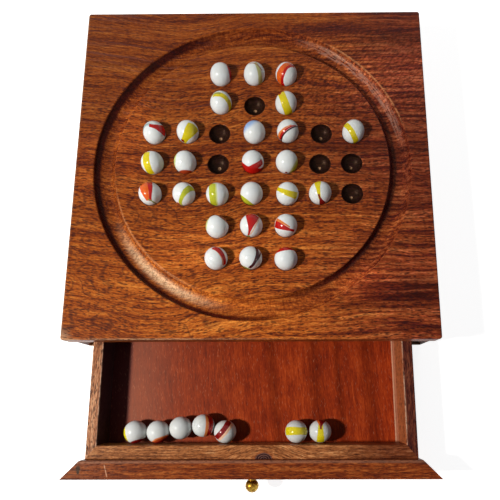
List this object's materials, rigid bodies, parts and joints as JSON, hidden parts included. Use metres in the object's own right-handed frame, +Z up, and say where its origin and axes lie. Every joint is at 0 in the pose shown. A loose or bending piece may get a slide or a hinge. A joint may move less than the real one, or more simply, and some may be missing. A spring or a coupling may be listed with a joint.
{
  "type": "peg solitaire board",
  "caption": "Square wooden solitaire board with a round groove, glass marbles in a cross of sockets, and a mitred drawer with a brass ball knob.",
  "frame": {"origin": "centre of the case's underside, on the surface it stands on", "axes": "+Z up, -Y the way the drawer opens, +X to the right seen from the drawer's front"},
  "size_m": [0.26, 0.3639, 0.0525],
  "materials": {
    "top_wood": "oiled and varnished",
    "case_wood": "oiled and varnished",
    "front_wood": "oiled and varnished",
    "drawer_wood": "oiled and varnished",
    "drawer_veneer": "oiled and varnished",
    "base_ply": "stained plywood",
    "dowel_wood": "plain",
    "steel_pins": "dull",
    "brass_knob": "aged, polished by use",
    "marble_glass": "opaque white glass with coloured bands"
  },
  "bodies": {
    "case": {"top_board": "top_wood", "case_side_left": "case_wood", "case_side_right": "case_wood", "case_back": "case_wood", "base_panel": "base_ply", "base_brads": "steel_pins", "corner_pins": "steel_pins", "top_dowels": "dowel_wood"},
    "drawer": {"drawer_front": "front_wood", "drawer_rail": "drawer_wood", "drawer_side_left": "drawer_wood", "drawer_side_right": "drawer_wood", "drawer_back": "drawer_wood", "drawer_bottom": "drawer_veneer", "drawer_bottom_brads": "steel_pins", "drawer_corner_pins": "steel_pins", "front_dowels": "dowel_wood", "knob": "brass_knob"},
    "marble_c7_body": {"marble_c7": "marble_glass"},
    "marble_d7_body": {"marble_d7": "marble_glass"},
    "marble_e7_body": {"marble_e7": "marble_glass"},
    "marble_c6_body": {"marble_c6": "marble_glass"},
    "marble_e6_body": {"marble_e6": "marble_glass"},
    "marble_a5_body": {"marble_a5": "marble_glass"},
    "marble_b5_body": {"marble_b5": "marble_glass"},
    "marble_d5_body": {"marble_d5": "marble_glass"},
    "marble_e5_body": {"marble_e5": "marble_glass"},
    "marble_g5_body": {"marble_g5": "marble_glass"},
    "marble_a4_body": {"marble_a4": "marble_glass"},
    "marble_b4_body": {"marble_b4": "marble_glass"},
    "marble_d4_body": {"marble_d4": "marble_glass"},
    "marble_e4_body": {"marble_e4": "marble_glass"},
    "marble_a3_body": {"marble_a3": "marble_glass"},
    "marble_b3_body": {"marble_b3": "marble_glass"},
    "marble_c3_body": {"marble_c3": "marble_glass"},
    "marble_d3_body": {"marble_d3": "marble_glass"},
    "marble_e3_body": {"marble_e3": "marble_glass"},
    "marble_f3_body": {"marble_f3": "marble_glass"},
    "marble_c2_body": {"marble_c2": "marble_glass"},
    "marble_d2_body": {"marble_d2": "marble_glass"},
    "marble_e2_body": {"marble_e2": "marble_glass"},
    "marble_c1_body": {"marble_c1": "marble_glass"},
    "marble_d1_body": {"marble_d1": "marble_glass"},
    "marble_e1_body": {"marble_e1": "marble_glass"},
    "spare_marble_1_body": {"spare_marble_1": "marble_glass"},
    "spare_marble_2_body": {"spare_marble_2": "marble_glass"},
    "spare_marble_3_body": {"spare_marble_3": "marble_glass"},
    "spare_marble_4_body": {"spare_marble_4": "marble_glass"},
    "spare_marble_5_body": {"spare_marble_5": "marble_glass"},
    "spare_marble_6_body": {"spare_marble_6": "marble_glass"},
    "spare_marble_7_body": {"spare_marble_7": "marble_glass"}
  },
  "joints": [
    {"name": "drawer_slide", "type": "slide", "parent": "case", "child": "drawer", "axis": [0, -1, 0], "range_m": [-0.094, 0.095]},
    {"name": "marble_c7_lift", "type": "slide", "parent": "case", "child": "marble_c7_body", "axis": [0, 0, 1], "range_m": [0, 0.02]},
    {"name": "marble_d7_lift", "type": "slide", "parent": "case", "child": "marble_d7_body", "axis": [0, 0, 1], "range_m": [0, 0.02]},
    {"name": "marble_e7_lift", "type": "slide", "parent": "case", "child": "marble_e7_body", "axis": [0, 0, 1], "range_m": [0, 0.02]},
    {"name": "marble_c6_lift", "type": "slide", "parent": "case", "child": "marble_c6_body", "axis": [0, 0, 1], "range_m": [0, 0.02]},
    {"name": "marble_e6_lift", "type": "slide", "parent": "case", "child": "marble_e6_body", "axis": [0, 0, 1], "range_m": [0, 0.02]},
    {"name": "marble_a5_lift", "type": "slide", "parent": "case", "child": "marble_a5_body", "axis": [0, 0, 1], "range_m": [0, 0.02]},
    {"name": "marble_b5_lift", "type": "slide", "parent": "case", "child": "marble_b5_body", "axis": [0, 0, 1], "range_m": [0, 0.02]},
    {"name": "marble_d5_lift", "type": "slide", "parent": "case", "child": "marble_d5_body", "axis": [0, 0, 1], "range_m": [0, 0.02]},
    {"name": "marble_e5_lift", "type": "slide", "parent": "case", "child": "marble_e5_body", "axis": [0, 0, 1], "range_m": [0, 0.02]},
    {"name": "marble_g5_lift", "type": "slide", "parent": "case", "child": "marble_g5_body", "axis": [0, 0, 1], "range_m": [0, 0.02]},
    {"name": "marble_a4_lift", "type": "slide", "parent": "case", "child": "marble_a4_body", "axis": [0, 0, 1], "range_m": [0, 0.02]},
    {"name": "marble_b4_lift", "type": "slide", "parent": "case", "child": "marble_b4_body", "axis": [0, 0, 1], "range_m": [0, 0.02]},
    {"name": "marble_d4_lift", "type": "slide", "parent": "case", "child": "marble_d4_body", "axis": [0, 0, 1], "range_m": [0, 0.02]},
    {"name": "marble_e4_lift", "type": "slide", "parent": "case", "child": "marble_e4_body", "axis": [0, 0, 1], "range_m": [0, 0.02]},
    {"name": "marble_a3_lift", "type": "slide", "parent": "case", "child": "marble_a3_body", "axis": [0, 0, 1], "range_m": [0, 0.02]},
    {"name": "marble_b3_lift", "type": "slide", "parent": "case", "child": "marble_b3_body", "axis": [0, 0, 1], "range_m": [0, 0.02]},
    {"name": "marble_c3_lift", "type": "slide", "parent": "case", "child": "marble_c3_body", "axis": [0, 0, 1], "range_m": [0, 0.02]},
    {"name": "marble_d3_lift", "type": "slide", "parent": "case", "child": "marble_d3_body", "axis": [0, 0, 1], "range_m": [0, 0.02]},
    {"name": "marble_e3_lift", "type": "slide", "parent": "case", "child": "marble_e3_body", "axis": [0, 0, 1], "range_m": [0, 0.02]},
    {"name": "marble_f3_lift", "type": "slide", "parent": "case", "child": "marble_f3_body", "axis": [0, 0, 1], "range_m": [0, 0.02]},
    {"name": "marble_c2_lift", "type": "slide", "parent": "case", "child": "marble_c2_body", "axis": [0, 0, 1], "range_m": [0, 0.02]},
    {"name": "marble_d2_lift", "type": "slide", "parent": "case", "child": "marble_d2_body", "axis": [0, 0, 1], "range_m": [0, 0.02]},
    {"name": "marble_e2_lift", "type": "slide", "parent": "case", "child": "marble_e2_body", "axis": [0, 0, 1], "range_m": [0, 0.02]},
    {"name": "marble_c1_lift", "type": "slide", "parent": "case", "child": "marble_c1_body", "axis": [0, 0, 1], "range_m": [0, 0.02]},
    {"name": "marble_d1_lift", "type": "slide", "parent": "case", "child": "marble_d1_body", "axis": [0, 0, 1], "range_m": [0, 0.02]},
    {"name": "marble_e1_lift", "type": "slide", "parent": "case", "child": "marble_e1_body", "axis": [0, 0, 1], "range_m": [0, 0.02]},
    {"name": "spare_marble_1_lift", "type": "slide", "parent": "drawer", "child": "spare_marble_1_body", "axis": [0, 0, 1], "range_m": [0, 0.03]},
    {"name": "spare_marble_2_lift", "type": "slide", "parent": "drawer", "child": "spare_marble_2_body", "axis": [0, 0, 1], "range_m": [0, 0.03]},
    {"name": "spare_marble_3_lift", "type": "slide", "parent": "drawer", "child": "spare_marble_3_body", "axis": [0, 0, 1], "range_m": [0, 0.03]},
    {"name": "spare_marble_4_lift", "type": "slide", "parent": "drawer", "child": "spare_marble_4_body", "axis": [0, 0, 1], "range_m": [0, 0.03]},
    {"name": "spare_marble_5_lift", "type": "slide", "parent": "drawer", "child": "spare_marble_5_body", "axis": [0, 0, 1], "range_m": [0, 0.03]},
    {"name": "spare_marble_6_lift", "type": "slide", "parent": "drawer", "child": "spare_marble_6_body", "axis": [0, 0, 1], "range_m": [0, 0.03]},
    {"name": "spare_marble_7_lift", "type": "slide", "parent": "drawer", "child": "spare_marble_7_body", "axis": [0, 0, 1], "range_m": [0, 0.03]}
  ]
}
